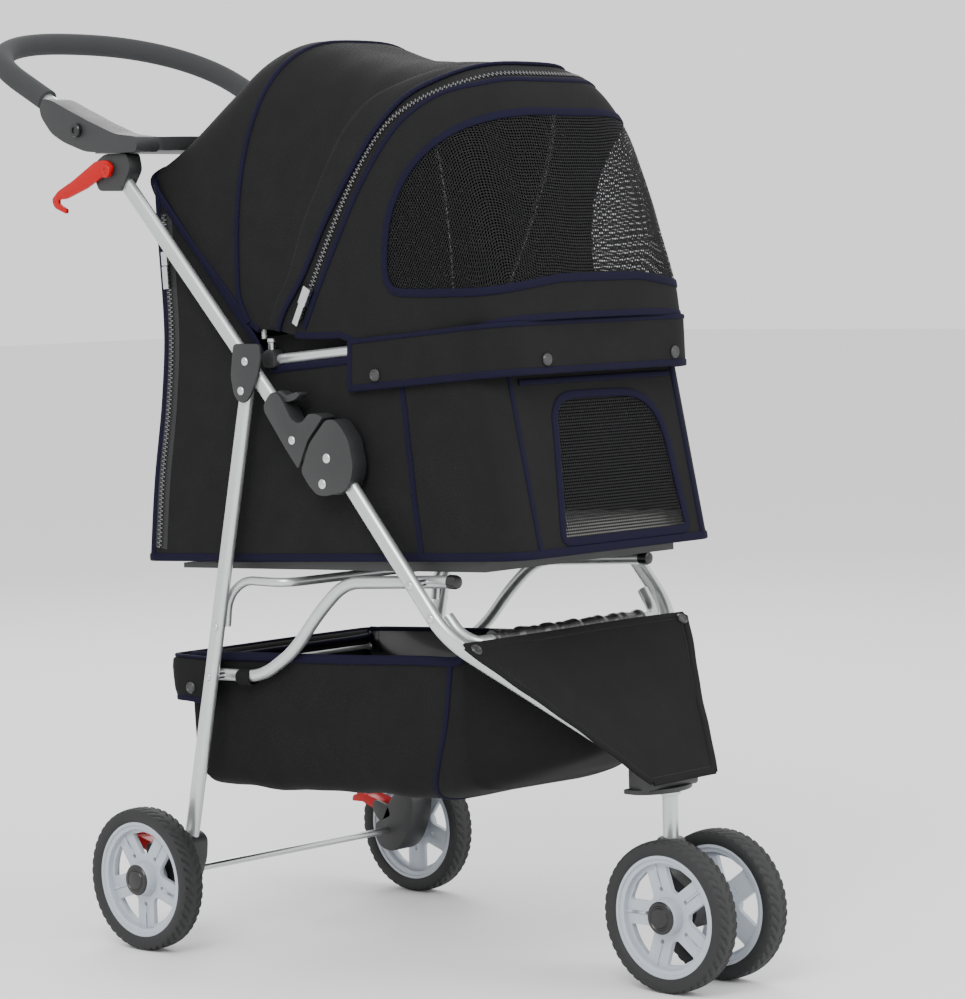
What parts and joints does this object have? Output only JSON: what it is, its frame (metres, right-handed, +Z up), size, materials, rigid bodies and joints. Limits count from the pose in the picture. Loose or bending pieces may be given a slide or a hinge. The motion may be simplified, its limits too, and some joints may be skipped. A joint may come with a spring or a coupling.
{
  "type": "pet stroller",
  "caption": "Folding three-wheeled pet stroller: cloth cabin with arched mesh hood, tubular frame, swivel front wheels, basket, cup tray and foam handle.",
  "frame": {"origin": "on the ground under the middle of the whole stroller", "axes": "+Z up, the stroller faces -Y, X runs across it, the pusher stands at +Y"},
  "size_m": [0.445, 0.9746, 0.9811],
  "materials": {
    "silver_tube": "semi-gloss silver powder coat",
    "dark_plastic": "fine-textured moulded plastic",
    "rim_plastic": "light blue-grey satin plastic",
    "tyre_rubber": "solid foam-rubber tread",
    "hub_black": "black press-on cap",
    "axle_steel": "bright zinc-plated steel",
    "red_plastic": "bright red moulded plastic",
    "foam": "closed-cell foam sleeve, fine grain",
    "canopy_cloth": "plain-weave polyester with navy binding",
    "basket_cloth": "plain-weave polyester, glossy coated inside",
    "pad_fleece": "pale fleece pad"
  },
  "bodies": {
    "seat": {"seat_frame": "silver_tube", "seat_cap_right": "dark_plastic", "seat_cap_left": "dark_plastic", "floor_board": "dark_plastic", "floor_pad": "pad_fleece", "cabin": "canopy_cloth", "basket": "basket_cloth"},
    "front_frame": {"front_leg_right": "silver_tube", "front_leg_left": "silver_tube", "fold_knuckle_right": "dark_plastic", "fold_knuckle_left": "dark_plastic", "basket_front_tube": "silver_tube", "fork_bracket": "dark_plastic", "leg_cape": "basket_cloth"},
    "caster": {"caster_stem": "silver_tube", "caster_head": "dark_plastic", "front_axle": "axle_steel"},
    "rear_frame": {"rear_leg_right": "silver_tube", "rear_leg_left": "silver_tube", "rear_axle": "axle_steel", "brake_housing_right": "dark_plastic", "brake_housing_left": "dark_plastic"},
    "cross_tube": {"rear_cross_tube": "silver_tube"},
    "handle_frame": {"upper_tube_right": "silver_tube", "upper_tube_left": "silver_tube", "hinge_plate_right": "dark_plastic", "hinge_plate_left": "dark_plastic", "handle_bar": "silver_tube", "foam_grip": "foam", "cup_tray": "dark_plastic", "tray_bracket_right": "dark_plastic", "tray_bracket_left": "dark_plastic", "clamp_bolt_right": "dark_plastic", "clamp_bolt_left": "dark_plastic"},
    "hood_rim": {"rim_tube": "silver_tube", "skirt_band": "canopy_cloth", "hood": "canopy_cloth"},
    "mid_bow": {"mid_bow": "silver_tube"},
    "front_bow": {"front_bow": "silver_tube"},
    "transport_hook": {"transport_hook": "red_plastic"},
    "front_wheel_right": {"front_wheel_right_tyre": "tyre_rubber", "front_wheel_right_rim": "rim_plastic", "front_wheel_right_hubcap": "hub_black"},
    "rear_wheel_right": {"rear_wheel_right_tyre": "tyre_rubber", "rear_wheel_right_rim": "rim_plastic", "rear_wheel_right_hubcap": "hub_black"},
    "brake_pedal_right": {"brake_pedal_right": "red_plastic"},
    "fold_latch_right": {"fold_latch_right": "dark_plastic"},
    "front_wheel_left": {"front_wheel_left_tyre": "tyre_rubber", "front_wheel_left_rim": "rim_plastic", "front_wheel_left_hubcap": "hub_black"},
    "rear_wheel_left": {"rear_wheel_left_tyre": "tyre_rubber", "rear_wheel_left_rim": "rim_plastic", "rear_wheel_left_hubcap": "hub_black"},
    "brake_pedal_left": {"brake_pedal_left": "red_plastic"},
    "fold_latch_left": {"fold_latch_left": "dark_plastic"}
  },
  "joints": [
    {"name": "frame_fold", "type": "hinge", "parent": "seat", "child": "front_frame", "pos_m": [0, -0.2002, 0.399], "axis": [1, 0, 0], "range_deg": [0, 85], "deforming": ["cabin", "hood", "basket", "floor_pad", "leg_cape"]},
    {"name": "rear_leg_fold", "type": "hinge", "parent": "seat", "child": "rear_frame", "pos_m": [0, 0.0948, 0.289], "axis": [1, 0, 0], "range_deg": [0, 38.94]},
    {"name": "handle_fold", "type": "hinge", "parent": "front_frame", "child": "handle_frame", "pos_m": [0, -0.0872, 0.496], "axis": [1, 0, 0], "range_deg": [-139.06, 0]},
    {"name": "cross_tube_pivot", "type": "hinge", "parent": "rear_frame", "child": "cross_tube", "pos_m": [0, 0.0818, 0.342], "axis": [1, 0, 0], "range_deg": [-52.65, 0]},
    {"name": "rim_drop", "type": "slide", "parent": "seat", "child": "hood_rim", "axis": [0, -0.8096, -0.5869], "range_m": [0, 0.16987]},
    {"name": "mid_bow_fold", "type": "hinge", "parent": "handle_frame", "child": "mid_bow", "pos_m": [0, 0.0278, 0.64], "axis": [1, 0, 0], "range_deg": [-28.02, 0]},
    {"name": "front_bow_fold", "type": "hinge", "parent": "mid_bow", "child": "front_bow", "pos_m": [0, -0.0282, 0.645], "axis": [1, 0, 0], "range_deg": [-23.02, 0]},
    {"name": "caster_swivel", "type": "hinge", "parent": "front_frame", "child": "caster", "pos_m": [0, -0.3827, 0.19], "axis": [0, 0, 1], "continuous": true},
    {"name": "front_wheel_spin_right", "type": "hinge", "parent": "caster", "child": "front_wheel_right", "pos_m": [-0.0392, -0.4127, 0.075], "axis": [1, 0, 0], "continuous": true},
    {"name": "rear_wheel_spin_right", "type": "hinge", "parent": "rear_frame", "child": "rear_wheel_right", "pos_m": [-0.205, 0.1643, 0.075], "axis": [1, 0, 0], "continuous": true},
    {"name": "brake_press_right", "type": "hinge", "parent": "rear_frame", "child": "brake_pedal_right", "pos_m": [0, 0.1788, 0.101], "axis": [1, 0, 0], "range_deg": [-20, 0]},
    {"name": "latch_slide_right", "type": "slide", "parent": "handle_frame", "child": "fold_latch_right", "axis": [0, 0.6877, 0.726], "range_m": [0, 0.01], "stiffness_N_per_m": 300},
    {"name": "front_wheel_spin_left", "type": "hinge", "parent": "caster", "child": "front_wheel_left", "pos_m": [0.0392, -0.4127, 0.075], "axis": [1, 0, 0], "continuous": true},
    {"name": "rear_wheel_spin_left", "type": "hinge", "parent": "rear_frame", "child": "rear_wheel_left", "pos_m": [0.205, 0.1643, 0.075], "axis": [1, 0, 0], "continuous": true},
    {"name": "brake_press_left", "type": "hinge", "parent": "rear_frame", "child": "brake_pedal_left", "pos_m": [0, 0.1788, 0.101], "axis": [1, 0, 0], "range_deg": [-20, 0]},
    {"name": "latch_slide_left", "type": "slide", "parent": "handle_frame", "child": "fold_latch_left", "axis": [0, 0.6877, 0.726], "range_m": [0, 0.01], "stiffness_N_per_m": 300},
    {"name": "hook_swing", "type": "hinge", "parent": "handle_frame", "child": "transport_hook", "pos_m": [-0.18, 0.2208, 0.818], "axis": [1, 0, 0], "range_deg": [-75, 0]}
  ],
  "couplings": [
    {"joint": "rear_leg_fold", "follows": "frame_fold", "ratio": 0.4579},
    {"joint": "handle_fold", "follows": "frame_fold", "ratio": -1.6357},
    {"joint": "cross_tube_pivot", "follows": "frame_fold", "ratio": -0.61917},
    {"joint": "rim_drop", "follows": "frame_fold", "m_per_rad": 0.11437},
    {"joint": "mid_bow_fold", "follows": "frame_fold", "ratio": -0.32941},
    {"joint": "front_bow_fold", "follows": "frame_fold", "ratio": -0.27059}
  ]
}
